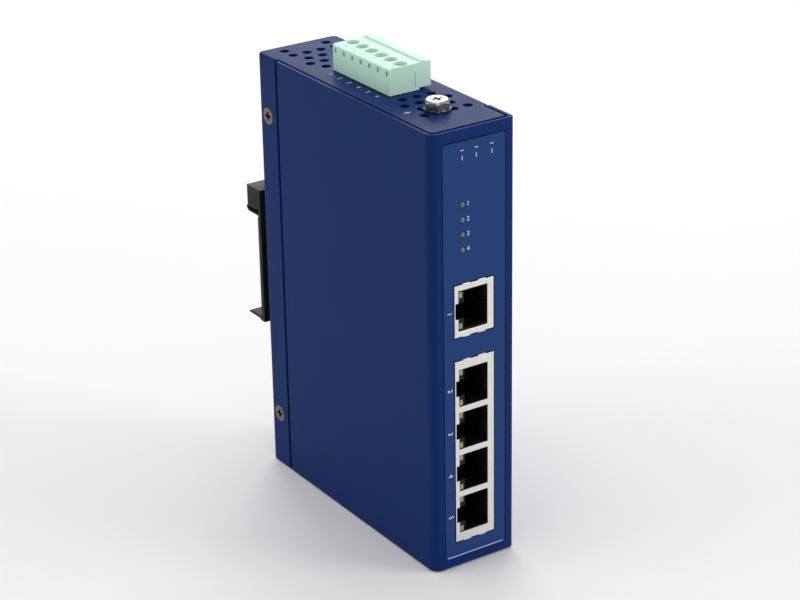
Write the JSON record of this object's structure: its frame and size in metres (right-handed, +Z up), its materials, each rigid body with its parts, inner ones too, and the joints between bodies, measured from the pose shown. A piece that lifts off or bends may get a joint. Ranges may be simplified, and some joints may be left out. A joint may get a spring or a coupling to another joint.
{
  "type": "din rail ethernet switch",
  "caption": "Slim folded steel case for a 35 mm rail with front network jacks, a pluggable screw terminal on top, vent holes and a rear spring clip.",
  "frame": {"origin": "centre of the case's bottom face", "axes": "+Z up along the case's height, -Y out of the port panel, +X to the right seen from the front; the rail clip is at +Y"},
  "size_m": [0.029, 0.1071, 0.1489],
  "materials": {
    "painted_case": "satin powder coat",
    "label_film": "satin printed film",
    "dark_nickel": "dark nickel plated",
    "zinc_steel": "zinc plated",
    "nickel": "bright nickel plated",
    "black_steel": "black oxide",
    "clip_plastic": "matt moulded",
    "circuit_board": "solder mask",
    "insulating_film": "satin film",
    "tin_shield": "matt tin",
    "black_plastic": "satin moulded",
    "contact_gold": "gold plated",
    "contact_tin": "tin plated",
    "lamp_green": "translucent",
    "lamp_yellow": "translucent",
    "lamp_grey": "translucent",
    "green_plastic": "satin moulded",
    "chip_black": "moulded",
    "ferrite": "sintered",
    "capacitor_can": "sleeved",
    "relay_white": "moulded",
    "fuse_ceramic": "glazed",
    "chip_ceramic": "fired",
    "sink_black": "black anodised",
    "cage_nickel": "nickel plated"
  },
  "bodies": {
    "case": {"alarm_relay": "relay_white", "board_screws": "zinc_steel", "board_standoffs": "zinc_steel", "bulk_capacitors": "capacitor_can", "case_nuts": "zinc_steel", "case_screws": "dark_nickel", "clip_nuts": "zinc_steel", "clip_screws": "dark_nickel", "clip_spacers": "zinc_steel", "crystal": "zinc_steel", "front_cover": "painted_case", "front_label": "label_film", "ground_nut": "zinc_steel", "ground_screw": "nickel", "ground_washer": "nickel", "header_pins": "contact_tin", "heat_sink": "sink_black", "input_diodes": "chip_black", "input_fuses": "fuse_ceramic", "insulating_sheet": "insulating_film", "light_holder": "black_plastic", "link_light_guides": "lamp_green", "main_board": "circuit_board", "memory_chip": "chip_black", "port_transformers": "chip_black", "power_chips": "chip_black", "power_inductors": "ferrite", "quad_jack_contacts": "contact_gold", "quad_jack_insulator": "black_plastic", "quad_jack_shield": "tin_shield", "rail_clip": "clip_plastic", "rail_spring": "black_steel", "rear_chassis": "painted_case", "single_jack_contacts": "contact_gold", "single_jack_insulator": "black_plastic", "single_jack_shield": "tin_shield", "small_resistors": "chip_ceramic", "speed_light_guides": "lamp_yellow", "status_lights": "lamp_grey", "switch_chip": "chip_black", "terminal_header": "green_plastic"},
    "plug": {"terminal_plug": "green_plastic", "plug_sockets": "contact_tin"},
    "clamp_screw_1": {"clamp_screw_1": "zinc_steel"},
    "clamp_cage_1": {"clamp_cage_1": "cage_nickel"},
    "clamp_screw_2": {"clamp_screw_2": "zinc_steel"},
    "clamp_cage_2": {"clamp_cage_2": "cage_nickel"},
    "clamp_screw_3": {"clamp_screw_3": "zinc_steel"},
    "clamp_cage_3": {"clamp_cage_3": "cage_nickel"},
    "clamp_screw_4": {"clamp_screw_4": "zinc_steel"},
    "clamp_cage_4": {"clamp_cage_4": "cage_nickel"},
    "clamp_screw_5": {"clamp_screw_5": "zinc_steel"},
    "clamp_cage_5": {"clamp_cage_5": "cage_nickel"},
    "clamp_screw_6": {"clamp_screw_6": "zinc_steel"},
    "clamp_cage_6": {"clamp_cage_6": "cage_nickel"}
  },
  "joints": [
    {"name": "plug_pull", "type": "slide", "parent": "case", "child": "plug", "axis": [0, 0, 1], "range_m": [0, 0.012]},
    {"name": "clamp_turn_1", "type": "hinge", "parent": "plug", "child": "clamp_screw_1", "pos_m": [0.006, -0.0105, 0.1443], "axis": [-1, 0, 0], "range_deg": [0, 1400.5]},
    {"name": "cage_rise_1", "type": "slide", "parent": "plug", "child": "clamp_cage_1", "axis": [1, 0, 0], "range_m": [0, 0.00175]},
    {"name": "clamp_turn_2", "type": "hinge", "parent": "plug", "child": "clamp_screw_2", "pos_m": [0.006, -0.00542, 0.1443], "axis": [-1, 0, 0], "range_deg": [0, 1400.5]},
    {"name": "cage_rise_2", "type": "slide", "parent": "plug", "child": "clamp_cage_2", "axis": [1, 0, 0], "range_m": [0, 0.00175]},
    {"name": "clamp_turn_3", "type": "hinge", "parent": "plug", "child": "clamp_screw_3", "pos_m": [0.006, -0.00034, 0.1443], "axis": [-1, 0, 0], "range_deg": [0, 1400.5]},
    {"name": "cage_rise_3", "type": "slide", "parent": "plug", "child": "clamp_cage_3", "axis": [1, 0, 0], "range_m": [0, 0.00175]},
    {"name": "clamp_turn_4", "type": "hinge", "parent": "plug", "child": "clamp_screw_4", "pos_m": [0.006, 0.00474, 0.1443], "axis": [-1, 0, 0], "range_deg": [0, 1400.5]},
    {"name": "cage_rise_4", "type": "slide", "parent": "plug", "child": "clamp_cage_4", "axis": [1, 0, 0], "range_m": [0, 0.00175]},
    {"name": "clamp_turn_5", "type": "hinge", "parent": "plug", "child": "clamp_screw_5", "pos_m": [0.006, 0.00982, 0.1443], "axis": [-1, 0, 0], "range_deg": [0, 1400.5]},
    {"name": "cage_rise_5", "type": "slide", "parent": "plug", "child": "clamp_cage_5", "axis": [1, 0, 0], "range_m": [0, 0.00175]},
    {"name": "clamp_turn_6", "type": "hinge", "parent": "plug", "child": "clamp_screw_6", "pos_m": [0.006, 0.0149, 0.1443], "axis": [-1, 0, 0], "range_deg": [0, 1400.5]},
    {"name": "cage_rise_6", "type": "slide", "parent": "plug", "child": "clamp_cage_6", "axis": [1, 0, 0], "range_m": [0, 0.00175]}
  ],
  "couplings": [
    {"joint": "clamp_turn_1", "follows": "cage_rise_1", "rad_per_m": 13963},
    {"joint": "clamp_turn_2", "follows": "cage_rise_2", "rad_per_m": 13963},
    {"joint": "clamp_turn_3", "follows": "cage_rise_3", "rad_per_m": 13963},
    {"joint": "clamp_turn_4", "follows": "cage_rise_4", "rad_per_m": 13963},
    {"joint": "clamp_turn_5", "follows": "cage_rise_5", "rad_per_m": 13963},
    {"joint": "clamp_turn_6", "follows": "cage_rise_6", "rad_per_m": 13963}
  ]
}
